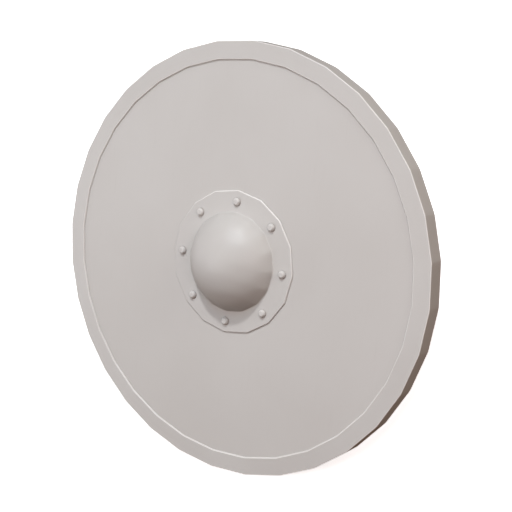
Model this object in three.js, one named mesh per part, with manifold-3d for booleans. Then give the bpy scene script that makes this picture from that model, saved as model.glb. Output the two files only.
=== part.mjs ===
import * as THREE from "three";
import { mergeVertices } from "three/addons/utils/BufferGeometryUtils.js";
import Module from "manifold-3d";

const wasm = await Module();
wasm.setup();

// Buckler shield in millimetres. It lies on its back with the boss up: +Z is the front, z = 0 is the
// back of the rim, the origin is on the axis of the boss, and the grip runs along X.

// Rim: an iron channel folded round the edge of the board
const SHIELD_DIAMETER = 450; // across the corners of the rim
const RIM_FLATS = 32; // short straight lengths that the rim is dressed in, with a corner on +X
const RIM_LAP = 18.8; // width of the band that the channel shows on the front and on the back
const RIM_SHEET = 1.2; // thickness of the channel's iron
const RIM_ARRIS = 0.4; // bevel along the outer front and back corners
const RIM_LAP_BEVEL = 0.9; // bevel along the inner edge of the band

// Board: the flat wooden disc, gripped by the rim
const BOARD_THICKNESS = 17.8;
const HAND_HOLE_LEDGE = 2; // how far the board stands in under the mouth of the boss
const HAND_HOLE_EASE = 2; // bevel round the back of the hand hole

// Boss: one piece of raised iron, a domed bowl with a flat flange
const DOME_DIAMETER = 104.8; // outside, across the corners where the dome meets the flange
const DOME_HEIGHT = 31.5; // from the face of the flange to the top
const DOME_FLATS_SHARE = 0.6; // share of its height up which the flats of its foot run out to round
const DOME_WALL = 1.2;
const DOME_FOOT_FILLET = 1.5; // outside radius where the dome meets the flange
const MOUTH_ROUND = 1.8; // radius round the mouth of the bowl, at the back of the flange
const FLANGE_WIDTH = 22.7; // from the corners of the dome's foot to the corners of the flange
const FLANGE_FLATS = 16; // short straight lengths of its edge and of the dome's foot, with a corner on +X
const FLANGE_THICKNESS = 1.2;
const FLANGE_BEVEL = 0.7; // bevel along the front of its edge

// Boss rivets: button heads in front, hammered tails behind
const RIVET_COUNT = 8;
const RIVET_SHANK_DIAMETER = 4;
const RIVET_HEAD_DIAMETER = 9.4;
const RIVET_HEAD_HEIGHT = 2.8;
const RIVET_HEAD_FULLNESS = 0.6; // 1 for an oval head, less for a flatter top and steeper sides
const RIVET_TAIL_DIAMETER = 7.4;
const RIVET_TAIL_CLEARANCE = 0.3; // from the tails to whatever the shield lies on

// Grip: a wooden bar across the hand hole, with flat ends let into the back of the board
const GRIP_WIDTH = 28; // of the hand bar, at its middle
const GRIP_DEPTH = 24; // of the hand bar, at its middle
const GRIP_SWELL = 1.6; // how much fuller the middle is than the shoulders, on each side
const GRIP_ROUNDING = 10.5; // corner radius of the hand bar
const GRIP_SHOULDER_RUN = 12; // length over which the hand bar sinks to the flat ends
const GRIP_END_WIDTH = 30;
const GRIP_END_THICKNESS = 8;
const GRIP_END_MARGIN = 15; // wood left beyond the rivets
const GRIP_END_ROUNDING = 1.2; // corner radius of the flat ends
const GRIP_LEAST_FLAT = 0.5; // half the flat that is left at least between two rounded corners

// Fit between pieces that touch
const FIT_GAP = 0.3;

// Fineness of the round work
const ROUND_STEPS = 64; // a multiple of the flats of the flange, so that the dome's corners are kept
const DOME_RINGS = 10;
const FILLET_STEPS = 3;
const RIVET_STEPS = 18;
const RIVET_RINGS = 3;
const GRIP_CORNER_STEPS = 4;
const GRIP_SHOULDER_STEPS = 6;
const GRIP_BAR_STEPS = 10;
const CUT_MARGIN = 5; // how far a cutter runs past the face that it cuts
const MERGE_TOLERANCE = 1e-4;

// Heights from the back of the rim, going forward
const boardBack = RIM_SHEET + FIT_GAP;
const boardFront = boardBack + BOARD_THICKNESS;
const rimFront = boardFront + FIT_GAP + RIM_SHEET;
const flangeBack = boardFront + FIT_GAP;
const flangeFront = flangeBack + FLANGE_THICKNESS;

// A width square to the flats of a polygon is longer along its corners by this factor
const towardCorner = (flats) => 1 / Math.cos(Math.PI / flats);

// The dome's outside is a piece of a sphere that stands on the flange
const domeRadius = DOME_DIAMETER / 2;
const sphereRadius = (domeRadius ** 2 + DOME_HEIGHT ** 2) / (2 * DOME_HEIGHT);
const sphereCentre = flangeFront + DOME_HEIGHT - sphereRadius;
const hollowRadius = sphereRadius - DOME_WALL;
const mouthRadius = Math.sqrt(hollowRadius ** 2 - (flangeBack - sphereCentre) ** 2);
const handHoleRadius = mouthRadius - HAND_HOLE_LEDGE;

// The rivets stand midway between the foot of the dome and the flats of the flange
const flangeCorner = domeRadius + FLANGE_WIDTH;
const rivetCircle = (domeRadius + flangeCorner / towardCorner(FLANGE_FLATS)) / 2;
const rivetHole = RIVET_SHANK_DIAMETER / 2 + FIT_GAP;
const gripEnd = rivetCircle + GRIP_END_MARGIN;

// A closed surface as a solid that can be joined and cut
function solidOf(geometry) {
  geometry.deleteAttribute("normal");
  geometry.deleteAttribute("uv");
  const merged = mergeVertices(geometry, MERGE_TOLERANCE);
  const mesh = new wasm.Mesh({
    numProp: 3,
    vertProperties: merged.attributes.position.array,
    triVerts: new Uint32Array(merged.index.array),
  });
  return new wasm.Manifold(mesh);
}

// A solid turned about Z from [radius, height] points that start and end on the axis or close on
// themselves, in the given number of flats, with a corner on +X
function turned(profile, flats) {
  const points = profile.map(([radius, height]) => new THREE.Vector2(radius, height));
  return solidOf(new THREE.LatheGeometry(points, flats).rotateX(Math.PI / 2));
}

// Points of an arc about a centre, between two angles from the radius direction
function arc([radius, height], size, from, to, steps) {
  const points = [];
  for (let i = 0; i <= steps; i += 1) {
    const angle = from + ((to - from) * i) / steps;
    points.push([radius + size * Math.cos(angle), height + size * Math.sin(angle)]);
  }
  return points;
}

// A box between two corners
function boxBetween(low, high) {
  const size = high.map((value, i) => value - low[i]);
  const middle = high.map((value, i) => (value + low[i]) / 2);
  return solidOf(new THREE.BoxGeometry(...size).translate(...middle));
}

// A skin over closed loops of equal length, laid one after another, with flat ends
function lofted(loops) {
  const size = loops[0].length;
  const indices = [];
  for (let i = 0; i + 1 < loops.length; i += 1) {
    for (let j = 0; j < size; j += 1) {
      const here = i * size + j;
      const beside = i * size + ((j + 1) % size);
      indices.push(here, beside, beside + size, here, beside + size, here + size);
    }
  }
  const last = (loops.length - 1) * size;
  for (let j = 1; j + 1 < size; j += 1) {
    indices.push(0, j + 1, j);
    indices.push(last, last + j, last + j + 1);
  }
  const geometry = new THREE.BufferGeometry();
  geometry.setAttribute("position", new THREE.Float32BufferAttribute(loops.flat(2), 3));
  return solidOf(geometry.setIndex(indices));
}

// A named piece with its own material
function piece(name, solid, finish) {
  const cut = solid.getMesh();
  const geometry = new THREE.BufferGeometry();
  geometry.setAttribute("position", new THREE.BufferAttribute(cut.vertProperties, 3));
  geometry.setIndex(new THREE.BufferAttribute(cut.triVerts, 1));
  geometry.computeVertexNormals();
  const mesh = new THREE.Mesh(geometry, new THREE.MeshStandardMaterial(finish));
  mesh.name = name;
  return mesh;
}

// Matt warm grey paint over the iron, and the same paint over the wood, a little drier
const PAINTED_IRON = { color: 0xc8c3c0, roughness: 0.5, metalness: 0 };
const PAINTED_WOOD = { color: 0xc6c1be, roughness: 0.6, metalness: 0 };

// Places of the rivets round the flange, as angles from +X
function rivetAngles() {
  return Array.from({ length: RIVET_COUNT }, (_, i) => (i * 2 * Math.PI) / RIVET_COUNT);
}

// The clearance hole of one rivet, through everything that it holds
function rivetBore(angle) {
  const reach = rimFront + 2 * CUT_MARGIN;
  const bore = new THREE.CylinderGeometry(rivetHole, rivetHole, reach, RIVET_STEPS);
  bore.rotateX(Math.PI / 2);
  bore.translate(rivetCircle * Math.cos(angle), rivetCircle * Math.sin(angle), rimFront / 2);
  return solidOf(bore);
}

// The board, with the hand hole, the rivet holes and a housing for each end of the grip
function makeBoard() {
  const corner = SHIELD_DIAMETER / 2 - (RIM_SHEET + FIT_GAP) * towardCorner(RIM_FLATS);
  const disc = turned(
    [
      [0, boardBack],
      [corner, boardBack],
      [corner, boardFront],
      [0, boardFront],
    ],
    RIM_FLATS,
  );
  const handHole = turned(
    [
      [0, boardBack - CUT_MARGIN],
      [handHoleRadius + HAND_HOLE_EASE + CUT_MARGIN, boardBack - CUT_MARGIN],
      [handHoleRadius, boardBack + HAND_HOLE_EASE],
      [handHoleRadius, boardFront + CUT_MARGIN],
      [0, boardFront + CUT_MARGIN],
    ],
    ROUND_STEPS,
  );
  const halfWidth = GRIP_END_WIDTH / 2 + FIT_GAP;
  const reach = gripEnd + FIT_GAP;
  const floor = boardBack + GRIP_END_THICKNESS + FIT_GAP;
  const housings = boxBetween([-reach, -halfWidth, boardBack - CUT_MARGIN], [reach, halfWidth, floor]);
  let board = disc.subtract(handHole).subtract(housings);
  for (const angle of rivetAngles()) {
    board = board.subtract(rivetBore(angle));
  }
  return piece("board", board, PAINTED_WOOD);
}

// The rim: a channel section that closes on itself, turned in short flats
function makeRim() {
  const slant = towardCorner(RIM_FLATS);
  const outer = SHIELD_DIAMETER / 2;
  const webInside = outer - RIM_SHEET * slant;
  const lapEdge = outer - RIM_LAP * slant;
  const section = [
    [lapEdge, RIM_SHEET],
    [lapEdge, RIM_LAP_BEVEL],
    [lapEdge + RIM_LAP_BEVEL * slant, 0],
    [outer - RIM_ARRIS * slant, 0],
    [outer, RIM_ARRIS],
    [outer, rimFront - RIM_ARRIS],
    [outer - RIM_ARRIS * slant, rimFront],
    [lapEdge + RIM_LAP_BEVEL * slant, rimFront],
    [lapEdge, rimFront - RIM_LAP_BEVEL],
    [lapEdge, rimFront - RIM_SHEET],
    [webInside, rimFront - RIM_SHEET],
    [webInside, RIM_SHEET],
    [lapEdge, RIM_SHEET],
  ];
  return piece("rim", turned(section, RIM_FLATS), PAINTED_IRON);
}

// A round solid of the dome, drawn in to the flats of the flange at its foot and round again higher up
function footFlattened(solid) {
  const turn = (2 * Math.PI) / FLANGE_FLATS;
  const runOut = flangeFront + DOME_HEIGHT * DOME_FLATS_SHARE;
  return solid.warp((point) => {
    const angle = Math.atan2(point[1], point[0]);
    const offMiddle = angle - (Math.floor(angle / turn) + 0.5) * turn;
    const drawnIn = 1 - Math.cos(turn / 2) / Math.cos(offMiddle);
    const share = 1 - THREE.MathUtils.smoothstep(point[2], flangeFront, runOut);
    point[0] *= 1 - drawnIn * share;
    point[1] *= 1 - drawnIn * share;
  });
}

// The outside of the dome with its foot fillet, standing in the thickness of the flange
function domeOutside() {
  const filletHeight = flangeFront + DOME_FOOT_FILLET;
  const rise = filletHeight - sphereCentre;
  const filletRadius = Math.sqrt((sphereRadius + DOME_FOOT_FILLET) ** 2 - rise ** 2);
  const foot = Math.atan2(rise, filletRadius);
  const fillet = arc(
    [filletRadius, filletHeight],
    DOME_FOOT_FILLET,
    -Math.PI / 2,
    foot - Math.PI,
    FILLET_STEPS,
  );
  const dome = arc([0, sphereCentre], sphereRadius, foot, Math.PI / 2, DOME_RINGS);
  const buried = flangeBack + FLANGE_THICKNESS / 2;
  const top = [0, sphereCentre + sphereRadius];
  const profile = [[0, buried], [filletRadius, buried], ...fillet, ...dome.slice(1, -1), top];
  return footFlattened(turned(profile, ROUND_STEPS));
}

// The hollow of the dome, with its rounded mouth, running out past the back of the flange
function domeHollow() {
  const roundHeight = flangeBack + MOUTH_ROUND;
  const rise = roundHeight - sphereCentre;
  const roundRadius = Math.sqrt((hollowRadius + MOUTH_ROUND) ** 2 - rise ** 2);
  const lip = Math.atan2(rise, roundRadius);
  const round = arc([roundRadius, roundHeight], MOUTH_ROUND, -Math.PI / 2, lip - Math.PI, FILLET_STEPS);
  const hollow = arc([0, sphereCentre], hollowRadius, lip, Math.PI / 2, DOME_RINGS);
  const below = flangeBack - CUT_MARGIN;
  const top = [0, sphereCentre + hollowRadius];
  const profile = [[0, below], [roundRadius, below], ...round, ...hollow.slice(1, -1), top];
  return footFlattened(turned(profile, ROUND_STEPS));
}

// The boss: flange and dome in one, hollow behind, with the rivet holes
function makeBoss() {
  const bevel = FLANGE_BEVEL * towardCorner(FLANGE_FLATS);
  const flange = turned(
    [
      [0, flangeBack],
      [flangeCorner, flangeBack],
      [flangeCorner, flangeFront - FLANGE_BEVEL],
      [flangeCorner - bevel, flangeFront],
      [0, flangeFront],
    ],
    FLANGE_FLATS,
  );
  let boss = flange.add(domeOutside()).subtract(domeHollow());
  for (const angle of rivetAngles()) {
    boss = boss.subtract(rivetBore(angle));
  }
  return piece("boss", boss, PAINTED_IRON);
}

// One section of the grip at a place along X: a rounded rectangle that stands on the board's back
function gripSection(x, halfWidth, height, wanted) {
  const loop = [];
  const middle = boardBack + height / 2;
  const rounding = Math.min(wanted, Math.min(halfWidth, height / 2) - GRIP_LEAST_FLAT);
  for (let corner = 0; corner < 4; corner += 1) {
    const sideY = corner === 0 || corner === 3 ? 1 : -1;
    const sideZ = corner < 2 ? 1 : -1;
    for (let i = 0; i <= GRIP_CORNER_STEPS; i += 1) {
      const angle = ((corner + i / GRIP_CORNER_STEPS) * Math.PI) / 2;
      const y = sideY * (halfWidth - rounding) + rounding * Math.cos(angle);
      const z = middle + sideZ * (height / 2 - rounding) + rounding * Math.sin(angle);
      loop.push([x, y, z]);
    }
  }
  return loop;
}

// The grip: a full bar in the hand, sinking at each shoulder to a flat end with a rivet hole
function makeGrip() {
  const endHalf = GRIP_END_WIDTH / 2;
  const shoulderEnd = Math.sqrt(handHoleRadius ** 2 - endHalf ** 2) - HAND_HOLE_EASE;
  const barEnd = shoulderEnd - GRIP_SHOULDER_RUN;
  const mix = (a, b, share) => a + (b - a) * share;
  const sectionAt = (x) => {
    const along = Math.min(1, Math.abs(x) / barEnd);
    const run = THREE.MathUtils.smoothstep(Math.abs(x), barEnd, shoulderEnd);
    const barHalf = GRIP_WIDTH / 2 - GRIP_SWELL * along ** 2;
    const barHeight = GRIP_DEPTH - GRIP_SWELL * along ** 2;
    return gripSection(
      x,
      mix(barHalf, endHalf, run),
      mix(barHeight, GRIP_END_THICKNESS, run),
      mix(GRIP_ROUNDING, GRIP_END_ROUNDING, run),
    );
  };
  const half = [];
  for (let i = 1; i <= GRIP_BAR_STEPS / 2; i += 1) {
    half.push((barEnd * 2 * i) / GRIP_BAR_STEPS);
  }
  for (let i = 1; i <= GRIP_SHOULDER_STEPS; i += 1) {
    half.push(mix(barEnd, shoulderEnd, i / GRIP_SHOULDER_STEPS));
  }
  half.push(gripEnd);
  const places = [...half.map((x) => -x).reverse(), 0, ...half];
  const bar = lofted(places.map(sectionAt));
  const grip = bar.subtract(rivetBore(0)).subtract(rivetBore(Math.PI));
  return piece("grip", grip, PAINTED_WOOD);
}

// One rivet about its own axis: button head, shank, and a tail hammered down behind the board
function rivetSolid() {
  const headBack = flangeFront + FIT_GAP;
  const head = [];
  for (let i = 0; i < RIVET_RINGS; i += 1) {
    const angle = (i / RIVET_RINGS) * (Math.PI / 2);
    const inward = Math.cos(angle) ** RIVET_HEAD_FULLNESS;
    const rise = Math.sin(angle) ** RIVET_HEAD_FULLNESS;
    head.push([(RIVET_HEAD_DIAMETER / 2) * inward, headBack + RIVET_HEAD_HEIGHT * rise]);
  }
  const tailRadius = RIVET_TAIL_DIAMETER / 2;
  const tailFront = boardBack - FIT_GAP;
  const tailBack = RIVET_TAIL_CLEARANCE;
  const shank = RIVET_SHANK_DIAMETER / 2;
  const profile = [
    [0, tailBack],
    [(tailRadius + shank) / 2, tailBack],
    [tailRadius, (tailBack + tailFront) / 2],
    [tailRadius, tailFront],
    [shank, tailFront],
    [shank, headBack],
    ...head,
    [0, headBack + RIVET_HEAD_HEIGHT],
  ];
  return turned(profile, RIVET_STEPS);
}

// The eight rivets, each its own piece, numbered round from +X
function makeRivets() {
  const rivet = rivetSolid();
  const rivets = new THREE.Group();
  rivetAngles().forEach((angle, i) => {
    const one = piece(`boss_rivet_${i + 1}`, rivet, PAINTED_IRON);
    one.position.set(rivetCircle * Math.cos(angle), rivetCircle * Math.sin(angle), 0);
    one.rotation.z = angle;
    rivets.add(one);
  });
  return rivets;
}

const buckler = new THREE.Group();
buckler.add(makeBoard(), makeRim(), makeBoss(), makeGrip(), makeRivets());

export default buckler;
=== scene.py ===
import math

import bmesh
import bpy
import numpy as np
from mathutils import Matrix, Vector


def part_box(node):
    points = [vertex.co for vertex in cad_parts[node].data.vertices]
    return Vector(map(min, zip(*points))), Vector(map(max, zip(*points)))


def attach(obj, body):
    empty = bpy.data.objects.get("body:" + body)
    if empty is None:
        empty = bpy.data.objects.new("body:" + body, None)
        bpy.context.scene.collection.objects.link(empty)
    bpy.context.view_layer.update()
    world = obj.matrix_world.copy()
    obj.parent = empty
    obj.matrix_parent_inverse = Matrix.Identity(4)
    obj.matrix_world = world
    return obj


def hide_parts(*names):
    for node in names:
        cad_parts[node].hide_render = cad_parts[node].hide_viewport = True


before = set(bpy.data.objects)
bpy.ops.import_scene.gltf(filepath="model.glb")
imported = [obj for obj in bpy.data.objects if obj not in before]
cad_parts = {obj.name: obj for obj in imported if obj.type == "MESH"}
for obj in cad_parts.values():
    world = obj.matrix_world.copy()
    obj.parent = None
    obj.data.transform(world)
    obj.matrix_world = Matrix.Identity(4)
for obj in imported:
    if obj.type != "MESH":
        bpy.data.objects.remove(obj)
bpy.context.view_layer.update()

# Board
# A flat disc of wood, glued up from planks that run along Y. It is cut to short flats for the rim to
# grip, bored for the hand and the rivets, and housed behind for the ends of the grip.
board_low, board_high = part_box("board")
BOARD_FLATS = 32
EDGE_EASE = 0.00012  # how much of each corner between two flats is dressed away
SIDE_SHARE = 3.2  # a side is at least this many times the ease
BESIDE = 1.5  # where the point beside a corner lies, in eases from it
REACH_ROOM = 2.2  # a side this many times the reach has room for its points
WEAR_AND_SHEEN_REACH = 0.0005  # how far from an edge the lighter paint of wear and painted highlight reaches
STEPS_PER_FLAT = 12
HAND_HOLE_RADIUS = 0.04967
HAND_HOLE_EASE = 0.002
WOOD_EASE = 0.0004
HOUSING_HALF_WIDTH = 0.0153
HOUSING_DEPTH = 0.0083
RIVET_CIRCLE = 0.06303
RIVET_COUNT = 8
RIVET_HOLE_RADIUS = 0.0023
FIT_GAP = 0.0003  # between pieces that touch
DRILL_SIDES = 32
CUT_MARGIN = 0.005
SHARP_ANGLE = math.radians(38)
# lighter paint for edges, for wear and as a painted highlight
WEAR_AND_SHEEN_PAINT = (0.84, 0.81, 0.78, 1)
grip_low, grip_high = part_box("grip")


def flat_angles(flats):
    """Angles round a ring of flats. Across each flat they follow -cos, so they lie close at its
    corners."""
    across = (1 - np.cos(np.pi * np.arange(STEPS_PER_FLAT) / STEPS_PER_FLAT)) / 2
    return ((np.arange(flats)[:, None] + across) * 2 * np.pi / flats).ravel()


def flat_sided(angles, flats, radius, ease):
    """Distance to a regular polygon, as a share of its corner radius. It is the apothem over the p-norm
    of the cosines to the nearest flats, and p is the power that cuts the ease off each corner."""
    power = -math.log(2) / math.log(1 - ease / radius)
    turn = 2 * np.pi / flats
    off = np.mod(angles, turn) - turn / 2
    norm = sum(np.cos(off + k * turn) ** power for k in (-1, 0, 1)) ** (1 / power)
    return math.cos(math.pi / flats) / norm


def eased(corners, ease, closed=True, reach=math.inf, steps=3):
    """A section's corners, each drawn as a quadratic curve P + a(1-s)^2 + b s^2 between two points that
    lie the ease back along its sides. One more point beside each keeps the flats flat, and another at
    the reach, where the side is long enough, is where the lighter edge paint, wear and painted
    highlight, ends."""
    corners = np.array(corners, float)
    share = np.linspace(0, 1, steps + 1)[:, None]
    outline = []
    for i, point in enumerate(corners):
        if not closed and i in (0, len(corners) - 1):
            outline.append(point[None])
            continue
        back = corners[i - 1] - point
        on = corners[(i + 1) % len(corners)] - point
        back_length = np.linalg.norm(back)
        on_length = np.linalg.norm(on)
        size = min(ease, back_length / SIDE_SHARE, on_length / SIDE_SHARE)
        back *= size / back_length
        on *= size / on_length
        curve = point + back * (1 - share) ** 2 + on * share**2
        before = [back * BESIDE]
        after = [on * BESIDE]
        if back_length >= REACH_ROOM * reach:
            before.insert(0, back * reach / size)
        if on_length >= REACH_ROOM * reach:
            after.append(on * reach / size)
        outline.append(np.vstack([point + before, curve, point + after]))
    return np.vstack(outline)


def wear_and_sheen_share(outline, corners):
    """How much lighter edge paint, wear and painted highlight, each point of an outline gets: 1 on the
    named corners, falling in a straight line to 0 at the reach of the lighter paint from them."""
    away = np.linalg.norm(outline[:, None] - np.array(corners)[None], axis=2).min(1)
    return np.clip(1 - away / WEAR_AND_SHEEN_REACH, 0, 1)


def skin(name, grid, close_rows=False, rub=None):
    """A closed surface over a grid of points. Columns always run round and join, rows join if asked,
    and points that fall together, as at a pole, become one. The share of lighter edge paint, wear and
    painted highlight, of each row goes with its points."""
    rows, columns = grid.shape[:2]
    row = np.arange(rows if close_rows else rows - 1)[:, None]
    column = np.arange(columns)[None]
    after = (row + 1) % rows
    beside = (column + 1) % columns
    near = row * columns
    far = after * columns
    corners = [near + column, near + beside, far + beside, far + column]
    faces = np.stack(np.broadcast_arrays(*corners), -1).reshape(-1, 4)
    mesh = bpy.data.meshes.new(name)
    mesh.from_pydata(grid.reshape(-1, 3), [], faces)
    if rub is not None:
        mesh.attributes.new("rub", "FLOAT", "POINT").data.foreach_set("value", np.repeat(rub, columns))
    work = bmesh.new()
    work.from_mesh(mesh)
    bmesh.ops.remove_doubles(work, verts=work.verts, dist=1e-7)
    bmesh.ops.recalc_face_normals(work, faces=work.faces)
    work.to_mesh(mesh)
    work.free()
    mesh.shade_smooth()
    mesh.set_sharp_from_angle(angle=SHARP_ANGLE)
    made = bpy.data.objects.new(name, mesh)
    bpy.context.scene.collection.objects.link(made)
    return made


def turned(outline, angles, radius_at):
    """Points of an outline of (r, z) carried round Z: x = R cos a, y = R sin a, with R = radius_at(r)."""
    radius = radius_at(outline[:, :1])
    height = np.broadcast_to(outline[:, 1:], radius.shape)
    return np.stack([radius * np.cos(angles), radius * np.sin(angles), height], -1)


def capped(name, outline, low, high):
    """A straight-sided cutter: an outline of (x, y) carried from one height to another and closed."""
    middle = outline.mean(0)
    rings = [middle + (outline - middle) * share for share in (0, 1, 1, 0)]
    heights = (low, low, high, high)
    grid = [np.column_stack([ring, np.full(len(ring), z)]) for ring, z in zip(rings, heights)]
    return skin(name, np.array(grid))


def rivet_places():
    """Centres of the rivets: equal angles round the rivet circle, from +X."""
    turn = 2 * np.pi * np.arange(RIVET_COUNT) / RIVET_COUNT
    return RIVET_CIRCLE * np.column_stack([np.cos(turn), np.sin(turn)])


def rivet_drills(places, low, high):
    """One cutter for each rivet hole, a circle of RIVET_HOLE_RADIUS carried from low to high."""
    turn = 2 * np.pi * np.arange(DRILL_SIDES) / DRILL_SIDES
    circle = RIVET_HOLE_RADIUS * np.column_stack([np.cos(turn), np.sin(turn)])
    return [capped(f"drill_{i}", place + circle, low, high) for i, place in enumerate(places)]


def cut_away(piece, cutters):
    """Cuts the cutters out of a piece, keeps the result as the piece's mesh and drops the cutters."""
    for cutter in cutters:
        cut = piece.modifiers.new(cutter.name, "BOOLEAN")
        cut.operation = "DIFFERENCE"
        cut.solver = "EXACT"
        cut.object = cutter
    seen = piece.evaluated_get(bpy.context.evaluated_depsgraph_get())
    result = bpy.data.meshes.new_from_object(seen)
    piece.modifiers.clear()
    piece.data = result
    result.set_sharp_from_angle(angle=SHARP_ANGLE)
    for cutter in cutters:
        bpy.data.objects.remove(cutter)


class Shade:
    """One output of a shader node. Used in a sum it adds the Math node that works the sum out."""

    def __init__(self, tree, socket=None):
        self.tree = tree
        self.socket = socket

    def node(self, kind, settings=None, sockets=None, output=0):
        """Any other node: its settings are set first, then the values or links of its sockets."""
        made = self.tree.nodes.new(kind)
        for name, value in (settings or {}).items():
            if name == "stops":
                self.set_stops(made.color_ramp, value)
            else:
                setattr(made, name, value)
        for name, value in (sockets or {}).items():
            if isinstance(value, Shade):
                self.tree.links.new(value.socket, made.inputs[name])
            else:
                made.inputs[name].default_value = value
        return Shade(self.tree, made.outputs[output] if made.outputs else None)

    @staticmethod
    def set_stops(ramp, stops):
        """Places a ramp's stops, given as (place, value) pairs of greys."""
        while len(ramp.elements) < len(stops):
            ramp.elements.new(1)
        for element, (place, value) in zip(ramp.elements, stops):
            element.position = place
            element.color = (value, value, value, 1)

    def maths(self, operation, *values):
        return self.node("ShaderNodeMath", {"operation": operation}, dict(enumerate(values)))

    def __add__(self, other):
        return self.maths("ADD", self, other)

    __radd__ = __add__

    def __sub__(self, other):
        return self.maths("SUBTRACT", self, other)

    def __rsub__(self, other):
        return self.maths("SUBTRACT", other, self)

    def __mul__(self, other):
        return self.maths("MULTIPLY", self, other)

    __rmul__ = __mul__

    def __truediv__(self, other):
        return self.maths("DIVIDE", self, other)

    def step(self, low, high):
        """0 below low, 1 above high, and smooth between."""
        sockets = {0: self, 1: low, 2: high}
        return self.node("ShaderNodeMapRange", {"interpolation_type": "SMOOTHSTEP"}, sockets)

    def noise(self, scale, detail=2.0, roughness=0.5):
        """Fractal noise about 0.5 on this vector."""
        sockets = {"Vector": self, "Scale": scale, "Detail": detail, "Roughness": roughness}
        return self.node("ShaderNodeTexNoise", None, sockets)

    def stretched(self, x, y, z):
        """This vector with each axis scaled by itself."""
        return self.node("ShaderNodeMapping", None, {"Vector": self, "Scale": (x, y, z)})

    def tint(self, colour, share):
        """This colour, mixed towards another by a share."""
        sockets = {0: share, 6: self, 7: colour}
        return self.node("ShaderNodeMix", {"data_type": "RGBA"}, sockets, output=2)


def place_on(piece, body, slot, material, *nodes):
    """Gives a piece its material and body, and hides the CAD nodes that it stands for. Its slot is not
    used.
    """
    piece.data.materials.clear()
    piece.data.materials.append(material)
    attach(piece, body)
    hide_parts(*nodes)


def start_material(name):
    """An empty material and, in its node tree, the place of each point in metres."""
    material = bpy.data.materials.new(name)
    material.use_nodes = True
    material.node_tree.nodes.clear()
    place = Shade(material.node_tree).node("ShaderNodeTexCoord", None, None, output="Object")
    return material, place


def finish_material(place, colour, roughness, height, depth):
    """Principled surface: varying colour and roughness, and a height in 0 to 1 bumped by depth metres."""
    bump = place.node("ShaderNodeBump", None, {"Height": height, "Distance": depth, "Strength": 1.0})
    sockets = {"Base Color": colour, "Roughness": roughness, "Normal": bump}
    surface = place.node("ShaderNodeBsdfPrincipled", None, sockets)
    place.node("ShaderNodeOutputMaterial", None, {"Surface": surface})


def wear_and_sheen_colour(place, colour, clouds, strength):
    """The paint's colour, lighter by the strength along its edges and unevenly so: wear and a painted
    highlight.
    """
    rub = place.node("ShaderNodeAttribute", {"attribute_name": "rub"}, None, output="Fac")
    return colour.tint(WEAR_AND_SHEEN_PAINT, rub * (0.8 + clouds * 0.4) * strength)


def distance_from_axis(place):
    """Distance of each point from the axis of the boss."""
    sockets = {0: place, 1: (1, 1, 0)}
    flat = place.node("ShaderNodeVectorMath", {"operation": "MULTIPLY"}, sockets)
    return place.node("ShaderNodeVectorMath", {"operation": "LENGTH"}, {0: flat}, output="Value")


def board_paint():
    """Matt paint brushed along the planks, with the grain just telling through it and painted shade
    towards the rim's edge.
    """
    material, place = start_material("board_paint")
    clouds = place.noise(7.0, 3.0)
    grain = place.stretched(1.0, 0.035, 1.0).noise(700.0, 3.0, 0.6)
    strokes = place.stretched(1.0, 0.05, 1.0).noise(210.0, 2.0)
    speck = place.noise(1500.0, 2.0)
    from_axis = distance_from_axis(place)
    # Painted shade: the board darkens towards the crease under the rim's edge.
    rim_crease_shade = from_axis.step(0.196, 0.207)
    paint = place.node("ShaderNodeRGB", None, None)
    paint.socket.default_value = (0.520, 0.490, 0.467, 1)
    colour = paint.tint((0.551, 0.524, 0.503, 1), clouds.step(0.35, 0.7) * 0.6)
    colour = colour.tint((0.44, 0.408, 0.382, 1), (grain.step(0.58, 0.8) * 0.16 + rim_crease_shade * 0.12))
    roughness = 0.56 + clouds * 0.08 + grain * 0.05
    height = grain * 0.5 + strokes * 0.35 + speck * 0.15
    finish_material(place, colour, roughness, height, 0.00012)
    return material


def make_board():
    """Section of (r, z) round the hand hole and the edge, carried round the axis: R goes from a circle
    at the hole to the 32-sided figure at the edge, in proportion to the distance between them."""
    outer = board_high.x
    corners = [
        (HAND_HOLE_RADIUS, board_high.z),
        (HAND_HOLE_RADIUS, board_low.z + HAND_HOLE_EASE),
        (HAND_HOLE_RADIUS + HAND_HOLE_EASE, board_low.z),
        (outer, board_low.z),
        (outer, board_high.z),
    ]
    angles = flat_angles(BOARD_FLATS)
    flat = flat_sided(angles, BOARD_FLATS, outer, EDGE_EASE)

    def radius_at(radius):
        share = np.clip((radius - HAND_HOLE_RADIUS) / (outer - HAND_HOLE_RADIUS), 0, 1)
        return radius * (1 - share + share * flat)

    board = skin("shield_board", turned(eased(corners, WOOD_EASE), angles, radius_at), close_rows=True)
    reach = grip_high.x + FIT_GAP
    side = HOUSING_HALF_WIDTH
    outline = np.array([(-reach, -side), (reach, -side), (reach, side), (-reach, side)])
    floor = board_low.z + HOUSING_DEPTH
    housing = capped("housing", outline, board_low.z - CUT_MARGIN, floor)
    drills = rivet_drills(rivet_places(), board_low.z - CUT_MARGIN, board_high.z + CUT_MARGIN)
    cut_away(board, [housing, *drills])
    place_on(board, "root", "board_paint", board_paint(), "board")


make_board()

# Rim
# A strip of iron folded to a channel round the edge of the board and dressed to the same short flats.
# Its laps grip the board in front and behind, and their corners are filed to a bevel.
rim_low, rim_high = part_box("rim")
RIM_LAP = 0.0188
RIM_SHEET = 0.0012
RIM_ARRIS = 0.0004
RIM_LAP_BEVEL = 0.0009
IRON_EASE = 0.00012


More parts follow.
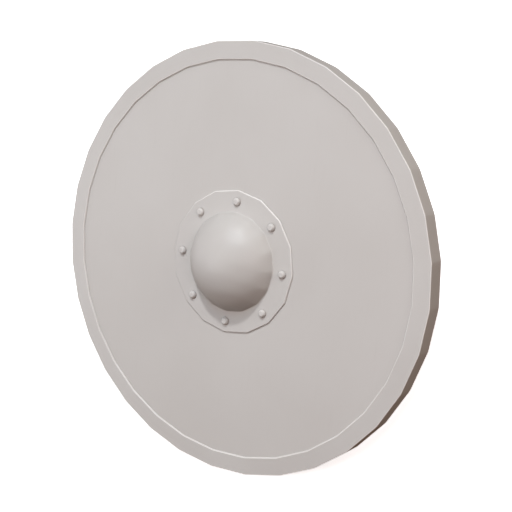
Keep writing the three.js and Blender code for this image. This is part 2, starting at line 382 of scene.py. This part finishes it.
def rim_paint():
    """The same paint over iron, brushed round the rim and a little lighter on its corners, wear and a
    painted highlight.
    """
    material, place = start_material("rim_paint")
    from_axis = distance_from_axis(place)
    clouds = place.noise(9.0, 3.0)
    along = place.node("ShaderNodeCombineXYZ", None, {0: from_axis * 40.0, 1: clouds * 0.4})
    strokes = along.noise(26.0, 3.0)
    speck = place.noise(1300.0, 3.0, 0.6)
    dents = place.noise(60.0, 1.0)
    paint = place.node("ShaderNodeRGB", None, None)
    paint.socket.default_value = (0.515, 0.486, 0.464, 1)
    colour = paint.tint((0.55, 0.524, 0.503, 1), clouds.step(0.35, 0.7) * 0.6)
    colour = colour.tint((0.45, 0.416, 0.39, 1), speck.step(0.62, 0.8) * 0.2)
    # Wear and painted highlight: the corners are lighter all round.
    colour = wear_and_sheen_colour(place, colour, clouds, 0.8)
    roughness = 0.45 + clouds * 0.06 + speck * 0.05
    height = dents * 0.62 + strokes * 0.2 + speck * 0.18
    finish_material(place, colour, roughness, height, 0.00025)
    return material


def make_rim():
    """Channel section carried round the 32-sided figure. Widths square to a flat grow by 1 / cos(pi / n)
    along a corner, as the figure's own radius does."""
    slant = 1 / math.cos(math.pi / BOARD_FLATS)
    outer = rim_high.x
    front = rim_high.z
    back = rim_low.z
    web = outer - RIM_SHEET * slant
    edge = outer - RIM_LAP * slant
    bevel = RIM_LAP_BEVEL * slant
    arris = RIM_ARRIS * slant
    corners = [
        (edge, back + RIM_SHEET),
        (edge, back + RIM_LAP_BEVEL),
        (edge + bevel, back),
        (outer - arris, back),
        (outer, back + RIM_ARRIS),
        (outer, front - RIM_ARRIS),
        (outer - arris, front),
        (edge + bevel, front),
        (edge, front - RIM_LAP_BEVEL),
        (edge, front - RIM_SHEET),
        (web, front - RIM_SHEET),
        (web, back + RIM_SHEET),
    ]
    angles = flat_angles(BOARD_FLATS)
    flat = flat_sided(angles, BOARD_FLATS, outer, EDGE_EASE)
    outline = eased(corners, IRON_EASE, reach=WEAR_AND_SHEEN_REACH)
    grid = turned(outline, angles, lambda radius: radius * flat)
    rim = skin("shield_rim", grid, close_rows=True, rub=wear_and_sheen_share(outline, corners[1:9]))
    place_on(rim, "root", "rim_paint", rim_paint(), "rim")


make_rim()

# Boss
# One piece of iron raised to a dome over the hand hole, with a flat flange that the rivets hold. The
# flange and the foot of the dome are dressed to sixteen flats, which run out to round up the dome.
boss_low, boss_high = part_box("boss")
DOME_RADIUS = 0.0524
DOME_HEIGHT = 0.0315
FLANGE_FRONT = boss_high.z - DOME_HEIGHT
DOME_WALL = 0.0012
DOME_FLATS_SHARE = 0.6
DOME_EASE = 0.0004
DOME_FOOT_FILLET = 0.0015
MOUTH_ROUND = 0.0018
FLANGE_FLATS = 16
FLANGE_BEVEL = 0.0007
DOME_RINGS = 44
FILLET_STEPS = 6
PLANISH_DEPTH = 0.00003
PLANISH_LENGTH = 0.016
PLANISH_WAVES = 14
PLANISH_FADE = 0.006  # height above the foot over which the marks come in
# the side the key light comes from, where the flange's edge gets its painted highlight
LIT_SIDE = (0.41, 0.91, 0)


def planished(points, seed):
    """Hammer marks left after raising: the mean of plane waves of one length in random directions."""
    rng = np.random.default_rng(seed)
    ways = rng.normal(size=(PLANISH_WAVES, 3))
    ways *= 2 * np.pi / PLANISH_LENGTH / np.linalg.norm(ways, axis=1)[:, None]
    phases = rng.uniform(0, 2 * np.pi, len(ways))
    return np.sin(points @ ways.T + phases).mean(-1) * math.sqrt(2 * len(ways)) * PLANISH_DEPTH


def arc(centre, size, start, end, steps):
    """Points on a circle in the (r, z) plane between two angles."""
    turn = np.linspace(start, end, steps + 1)
    return np.column_stack([centre[0] + size * np.cos(turn), centre[1] + size * np.sin(turn)])


def boss_paint():
    """The same paint over hammered iron. Painted shade lies round the foot of the dome, strongest away
    from the light, and fades up its side to a top a little lighter, and the edge of the flange is
    lighter on its lit side, a painted highlight."""
    material, place = start_material("boss_paint")
    clouds = place.noise(16.0, 3.0)
    speck = place.noise(1300.0, 3.0, 0.6)
    dents = place.noise(90.0, 1.0)
    paint = place.node("ShaderNodeRGB", None, None)
    paint.socket.default_value = (0.515, 0.486, 0.464, 1)
    colour = paint.tint((0.55, 0.524, 0.503, 1), clouds.step(0.35, 0.7) * 0.5)
    colour = colour.tint((0.45, 0.416, 0.39, 1), speck.step(0.62, 0.8) * 0.2)
    height = place.node("ShaderNodeSeparateXYZ", None, {0: place}, output="Z")
    # Painted light by side: the flange's edge is lighter on the side the key light comes from.
    sockets = {0: place, 1: LIT_SIDE}
    toward_light = place.node("ShaderNodeVectorMath", {"operation": "DOT_PRODUCT"}, sockets, output="Value")
    lit_side = toward_light.step(-0.03, 0.06)
    lit_half = toward_light.step(-0.035, 0.015)
    above = height - FLANGE_FRONT
    # Painted shade round the foot of the dome, strongest away from the light and fading up its side.
    dome_foot_shade = above.step(0.0001, 0.0011) * (0.85 - lit_half * 0.65) - above.step(0.0006, 0.0066) * 0.1
    dome_shade_fade = above.step(0.0066, 0.0266) * (0.8 - lit_half * 0.8)
    colour = colour.tint((0.35, 0.322, 0.302, 1), 0.06 + dome_foot_shade - dome_shade_fade)
    colour = wear_and_sheen_colour(place, colour, clouds, lit_side * 0.75)
    roughness = 0.43 + clouds * 0.06 + speck * 0.05
    relief = dents * 0.7 + speck * 0.3
    finish_material(place, colour, roughness, relief, 0.00016)
    return material


def make_boss():
    """Outline from the top of the dome down its outside, round the flange and up the hollow, carried
    round the axis. The dome is a sphere through its foot and top, of radius (a^2 + h^2) / 2h. Its flats
    fade by the smooth step of height, from the face of the flange to DOME_FLATS_SHARE of the dome."""
    front = FLANGE_FRONT
    back = boss_low.z
    outer = boss_high.x
    sphere = (DOME_RADIUS**2 + DOME_HEIGHT**2) / (2 * DOME_HEIGHT)
    middle = boss_high.z - sphere
    hollow = sphere - DOME_WALL
    rise = front + DOME_FOOT_FILLET - middle
    foot_radius = math.sqrt((sphere + DOME_FOOT_FILLET) ** 2 - rise**2)
    foot = math.atan2(rise, foot_radius)
    lip_rise = back + MOUTH_ROUND - middle
    lip_radius = math.sqrt((hollow + MOUTH_ROUND) ** 2 - lip_rise**2)
    lip = math.atan2(lip_rise, lip_radius)
    fillet = (foot_radius, front + DOME_FOOT_FILLET)
    mouth = (lip_radius, back + MOUTH_ROUND)
    bevel = FLANGE_BEVEL / math.cos(math.pi / FLANGE_FLATS)
    flange = eased(
        [
            (foot_radius, front),
            (outer - bevel, front),
            (outer, front - FLANGE_BEVEL),
            (outer, back),
            (lip_radius, back),
        ],
        IRON_EASE,
        closed=False,
        reach=WEAR_AND_SHEEN_REACH,
    )
    outline = np.vstack(
        [
            arc((0, middle), sphere, math.pi / 2, foot, DOME_RINGS),
            arc(fillet, DOME_FOOT_FILLET, foot - math.pi, -math.pi / 2, FILLET_STEPS)[1:-1],
            flange,
            arc(mouth, MOUTH_ROUND, -math.pi / 2, lip - math.pi, FILLET_STEPS)[1:-1],
            arc((0, middle), hollow, lip, math.pi / 2, DOME_RINGS),
        ]
    )
    angles = flat_angles(FLANGE_FLATS)
    edge = flat_sided(angles, FLANGE_FLATS, outer, EDGE_EASE)
    foot_edge = flat_sided(angles, FLANGE_FLATS, DOME_RADIUS, DOME_EASE)
    outward = np.clip((outline[:, :1] - foot_radius) / (outer - bevel - foot_radius), 0, 1)
    flat = foot_edge * (1 - outward) + edge * outward
    up = np.clip((outline[:, 1:] - front) / (DOME_HEIGHT * DOME_FLATS_SHARE), 0, 1)
    share = 1 - up**2 * (3 - 2 * up)
    grid = turned(outline, angles, lambda radius: radius * (1 - share + share * flat))
    centre = np.array([0, 0, middle])
    away = grid - centre
    length = np.linalg.norm(away, axis=-1, keepdims=True)
    on_dome = np.clip((grid[..., 2] - front - DOME_FOOT_FILLET) / PLANISH_FADE, 0, 1)
    marks = (planished(grid, 7) - 3 * PLANISH_DEPTH) * on_dome
    grid += away / length * marks[..., None]
    # The flange's bevel gets lighter paint, mostly a painted highlight on the lit side.
    bevel_corners = [(outer - bevel, front), (outer, front - FLANGE_BEVEL)]
    boss = skin("shield_boss", grid, rub=wear_and_sheen_share(outline, bevel_corners))
    cut_away(boss, rivet_drills(rivet_places(), back - CUT_MARGIN, front + CUT_MARGIN))
    place_on(boss, "root", "boss_paint", boss_paint(), "boss")


make_boss()

# Grip
# A wooden bar across the hand hole, full in the hand and sunk at each shoulder to a flat end. The ends
# lie in housings behind the board, each held by one of the boss rivets.
GRIP_WIDTH = 0.028
GRIP_DEPTH = 0.024
GRIP_SWELL = 0.0016
GRIP_ROUNDING = 0.0105
GRIP_SHOULDER_RUN = 0.012
GRIP_END_THICKNESS = 0.008
GRIP_END_ROUNDING = 0.0012
GRIP_CORNER_STEPS = 9
GRIP_SECTIONS = 121


def grip_paint():
    """The same paint, thinner over the grain and worn smoother where the palm and fingers close."""
    material, place = start_material("grip_paint")
    clouds = place.noise(30.0, 3.0)
    grain = place.stretched(0.03, 1.0, 1.0).noise(900.0, 4.0, 0.6)
    parts = place.node("ShaderNodeSeparateXYZ", None, {0: place})
    along = parts.maths("ABSOLUTE", parts)
    held = 1 - along.step(0.022, 0.042)
    paint = place.node("ShaderNodeRGB", None, None)
    paint.socket.default_value = (0.5, 0.468, 0.442, 1)
    colour = paint.tint((0.53, 0.5, 0.476, 1), clouds.step(0.35, 0.7) * 0.5)
    colour = colour.tint((0.41, 0.365, 0.325, 1), grain.step(0.55, 0.75) * 0.22 + held * 0.16)
    roughness = 0.58 + clouds * 0.06 - held * 0.14
    height = grain * 0.75 + clouds * 0.25
    finish_material(place, colour, roughness, height, 0.00014)
    return material


def make_grip():
    """Rounded rectangles carried along X. Half width, height and corner radius go from the bar to the
    ends by the smooth step 3t^2 - 2t^3, and the bar's swell falls off as the square of x."""
    end_half = HOUSING_HALF_WIDTH - FIT_GAP
    shoulder_end = math.sqrt(HAND_HOLE_RADIUS**2 - end_half**2) - HAND_HOLE_EASE
    bar_end = shoulder_end - GRIP_SHOULDER_RUN
    inside = np.linspace(-shoulder_end, shoulder_end, GRIP_SECTIONS)
    place = np.concatenate([[grip_low.x, grip_low.x], inside, [grip_high.x, grip_high.x]])
    along = np.minimum(1, np.abs(place) / bar_end)
    share = np.clip((np.abs(place) - bar_end) / GRIP_SHOULDER_RUN, 0, 1)
    run = share**2 * (3 - 2 * share)
    half = (GRIP_WIDTH / 2 - GRIP_SWELL * along**2) * (1 - run) + end_half * run
    height = (GRIP_DEPTH - GRIP_SWELL * along**2) * (1 - run) + GRIP_END_THICKNESS * run
    rounding = GRIP_ROUNDING * (1 - run) + GRIP_END_ROUNDING * run
    quarter = np.linspace(0, np.pi / 2, GRIP_CORNER_STEPS)
    turn = (quarter + np.arange(4)[:, None] * np.pi / 2).ravel()
    side = np.repeat([1, -1, -1, 1], GRIP_CORNER_STEPS)
    top = np.repeat([1, 1, -1, -1], GRIP_CORNER_STEPS)
    y = side * (half - rounding)[:, None] + rounding[:, None] * np.cos(turn)
    z = top * (height / 2 - rounding)[:, None] + rounding[:, None] * np.sin(turn)
    z += grip_low.z + height[:, None] / 2
    x = np.broadcast_to(place[:, None], y.shape)
    grid = np.stack([x, y, z], -1)
    for end in (0, -1):
        grid[end] = grid[end].mean(0)
    grip = skin("shield_grip", grid)
    ends = rivet_places()[[0, RIVET_COUNT // 2]]
    cut_away(grip, rivet_drills(ends, grip_low.z - CUT_MARGIN, grip_high.z))
    place_on(grip, "root", "grip_paint", grip_paint(), "grip")


make_grip()

# Rivets
# Eight iron rivets through the flange and the board, forged to a button head in front and hammered
# down behind. No two heads are quite alike.
RIVET_HEAD_RADIUS = 0.0047
RIVET_HEAD_HEIGHT = 0.0028
RIVET_HEAD_CUT = 1.5  # height of the bowl over that of the flat cut across it
RIVET_HEAD_BEND = 14
RIVET_HEAD_RINGS = 16
RIVET_SHANK_RADIUS = 0.002
RIVET_TAIL_RADIUS = 0.0037
RIVET_TAIL_ROUNDING = 0.0002
RIVET_SIDES = 40
HAMMER_FACES = 6
TAIL_SWELL = 0.03  # how far a tail is from round


def rivet_paint():
    """The same paint, with painted shade round the foot of each head."""
    material, place = start_material("rivet_paint")
    clouds = place.noise(120.0, 2.0)
    speck = place.noise(1600.0, 2.0)
    paint = place.node("ShaderNodeRGB", None, None)
    paint.socket.default_value = (0.515, 0.486, 0.464, 1)
    colour = paint.tint((0.55, 0.524, 0.503, 1), clouds.step(0.35, 0.7) * 0.6)
    height = place.node("ShaderNodeSeparateXYZ", None, {0: place}, output="Z")
    above = height - FLANGE_FRONT
    # Painted shade round the foot of each head.
    rivet_foot_shade = above.step(-0.0004, 0.0002) * (1 - above.step(0.0005, 0.0020))
    colour = colour.tint((0.20, 0.17, 0.15, 1), rivet_foot_shade * (0.35 + clouds * 0.2))
    colour = wear_and_sheen_colour(place, colour, clouds, 0.12)
    roughness = 0.40 + clouds * 0.08
    relief = clouds * 0.6 + speck * 0.4
    finish_material(place, colour, roughness, relief, 0.00012)
    return material


def rivet_points(number):
    """Head, shank and tail as one outline carried round. The head is a bowl b = c (1 - (r / R)^2) under a
    flat at 1, blended as z = H (1 + b^-p)^(-1/p) and brought to H at the axis. A few planes, set just
    inside its reach in their own directions, then flatten its shoulder."""
    low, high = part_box(f"boss_rivet_{number}")
    rng = np.random.default_rng(100 + number)
    foot = high.z - RIVET_HEAD_HEIGHT
    inward = np.linspace(0, 1, RIVET_HEAD_RINGS + 1)
    bowl = np.maximum(RIVET_HEAD_CUT * (1 - inward**2), 1e-6)
    rise = (1 + bowl**-RIVET_HEAD_BEND) ** (-1 / RIVET_HEAD_BEND)
    head = np.column_stack([RIVET_HEAD_RADIUS * inward, foot + RIVET_HEAD_HEIGHT * rise / rise[0]])
    tail = board_low.z - FIT_GAP
    outline = np.vstack(
        [
            head,
            [(RIVET_SHANK_RADIUS, foot), (RIVET_SHANK_RADIUS, tail), (RIVET_TAIL_RADIUS, tail)],
            [(RIVET_TAIL_RADIUS, (low.z + tail) / 2)],
            [(RIVET_TAIL_RADIUS * 0.9, low.z + RIVET_TAIL_ROUNDING)],
            [(RIVET_TAIL_RADIUS * 0.7, low.z), (0, low.z)],
        ]
    )
    angles = 2 * np.pi * np.arange(RIVET_SIDES) / RIVET_SIDES
    grid = turned(outline, angles, lambda radius: np.broadcast_to(radius, (len(radius), len(angles))))
    above = grid[: len(head)] - (0, 0, foot)
    lean = rng.uniform(0.5, 1.1, HAMMER_FACES)
    around = rng.uniform(0, 2 * np.pi, HAMMER_FACES)
    planes = np.column_stack([np.sin(lean) * np.cos(around), np.sin(lean) * np.sin(around), np.cos(lean)])
    for plane, share in zip(planes, rng.uniform(0.97, 0.99, HAMMER_FACES)):
        reach = above @ plane
        above -= np.maximum(0, reach - reach.max() * share)[..., None] * plane
    grid[: len(head)] = above + (0, 0, foot)
    swell = 1 + TAIL_SWELL * np.cos(2 * (angles - rng.uniform(0, np.pi)))
    tail_rows = slice(len(head) + 2, len(outline))
    grid[tail_rows, :, :2] *= (1 - TAIL_SWELL) * swell[None, :, None]
    grid[..., :2] += rivet_places()[number - 1]
    # The shoulder of each head gets a ring of lighter paint, wear and a painted highlight.
    rub = np.zeros(len(outline))
    rub[: len(head)] = np.clip(1 - np.abs(inward - 0.6) / 0.3, 0, 1)
    return grid, rub


def make_rivets():
    """The eight rivets, each its own piece in the place of its node."""
    paint = rivet_paint()
    for number in range(1, RIVET_COUNT + 1):
        grid, rub = rivet_points(number)
        rivet = skin(f"shield_rivet_{number}", grid, rub=rub)
        place_on(rivet, "root", "rivet_paint", paint, f"boss_rivet_{number}")


make_rivets()

# Floor, light and camera
# A plain white sweep under the shield, a small key light from beyond its top and broad dim lights all
# round it, and the camera where the photograph was taken from.
FLOOR_RADIUS = 5.0
FLOOR_FLAT = 2.75
FLOOR_SWEEP = 0.8
FLOOR_RINGS = 60
FLOOR_SIDES = 96
FLOOR_GAP = 0.0003
FLOOR_GLOW = 0.75
AMBIENT = (0.106, 0.056, 0.027)
CAMERA_PLACE = Vector((0.60507, 0.23133, 0.90140))
CAMERA_AIM = Vector((0.02957, 0.01226, 0.02050))
CAMERA_UP = Vector((-0.19765, 0.97368, -0.11348))
CAMERA_LENS = 74.60
LIGHT_AIM = Vector((0, 0, 0.0214))
LIGHTS = [  # name, azimuth, elevation and spread in degrees, distance, strength on the shield
    ("key", 89.3, 32.7, 3.5, 3.5, (1.780, 1.787, 1.790)),
    ("top", 90, 42, 24, 2.8, (0.334, 0.558, 0.727)),
    ("top_right", 36, 14, 24, 1.3, (0.696, 0.717, 0.655)),
    ("right", 18, 42, 24, 1.3, (0.678, 0.586, 0.621)),
    ("overhead", 180, 68, 24, 1.3, (0.920, 0.934, 0.914)),
    ("left", 198, 42, 24, 1.3, (0.376, 0.395, 0.429)),
    ("low_left", 180, 14, 24, 1.3, (0.309, 0.297, 0.310)),
]


def turned_to(place, aim, up):
    """A rotation whose -Z runs from place to aim, with +Y as near as it can be to up."""
    back = (place - aim).normalized()
    right = up.cross(back).normalized()
    return Matrix((right, back.cross(right), back)).transposed()


def floor_paint():
    """Plain white with a little light of its own, so that it reads as a clean studio sweep."""
    material, place = start_material("studio_white")
    white = (0.95, 0.95, 0.95, 1)
    glow = {"Emission Color": white, "Emission Strength": FLOOR_GLOW}
    sockets = {"Base Color": white, "Roughness": 0.9, **glow}
    surface = place.node("ShaderNodeBsdfPrincipled", None, sockets)
    place.node("ShaderNodeOutputMaterial", None, {"Surface": surface})
    return material


def make_floor():
    """A flat disc whose edge sweeps up: past FLOOR_FLAT its height is FLOOR_SWEEP times the square of
    the distance beyond."""
    distance = np.linspace(0, FLOOR_RADIUS, FLOOR_RINGS)[:, None]
    rise = np.maximum(0, distance - FLOOR_FLAT) ** 2 * FLOOR_SWEEP
    angles = 2 * np.pi * np.arange(FLOOR_SIDES) / FLOOR_SIDES
    x = distance * np.cos(angles)
    y = distance * np.sin(angles)
    grid = np.stack([x, y, np.broadcast_to(rise - FLOOR_GAP, x.shape)], -1)
    floor = skin("studio_floor", grid)
    floor.data.materials.append(floor_paint())
    floor.visible_diffuse = False
    floor.visible_glossy = False
    floor.visible_shadow = False


def make_light(name, azimuth, elevation, spread, distance, strength):
    """A round light that faces the shield from a distance D and looks as wide as the spread from there.
    Its power is pi D^2 times the strength, so that the strength on the shield is the same at any D."""
    lamp = bpy.data.lights.new(name, "AREA")
    lamp.shape = "DISK"
    lamp.size = 2 * distance * math.tan(math.radians(spread) / 2)
    lamp.energy = math.pi * distance**2 * max(strength)
    lamp.color = [part / max(strength) for part in strength]
    light = bpy.data.objects.new(name, lamp)
    flat = math.cos(math.radians(elevation))
    around = math.radians(azimuth)
    away = Vector((flat * math.cos(around), flat * math.sin(around), math.sin(math.radians(elevation))))
    light.location = LIGHT_AIM + away * distance
    light.rotation_mode = "QUATERNION"
    light.rotation_quaternion = away.to_track_quat("Z", "Y")
    bpy.context.scene.collection.objects.link(light)


def make_camera():
    """The photograph's viewpoint, with its own up in the picture."""
    camera = bpy.data.objects.new("photo_camera", bpy.data.cameras.new("photo_camera"))
    camera.data.lens = CAMERA_LENS
    camera.data.clip_start = 0.01
    camera.location = CAMERA_PLACE
    camera.rotation_mode = "QUATERNION"
    camera.rotation_quaternion = turned_to(CAMERA_PLACE, CAMERA_AIM, CAMERA_UP).to_quaternion()
    bpy.context.scene.collection.objects.link(camera)
    bpy.context.scene.camera = camera


def make_world():
    """A dim warm light from all round."""
    world = bpy.data.worlds.new("studio")
    world.use_nodes = True
    world.node_tree.nodes["Background"].inputs["Color"].default_value = (*AMBIENT, 1)
    bpy.context.scene.world = world


make_floor()
for light in LIGHTS:
    make_light(*light)
make_world()
make_camera()
bpy.context.scene.view_settings.view_transform = "Standard"
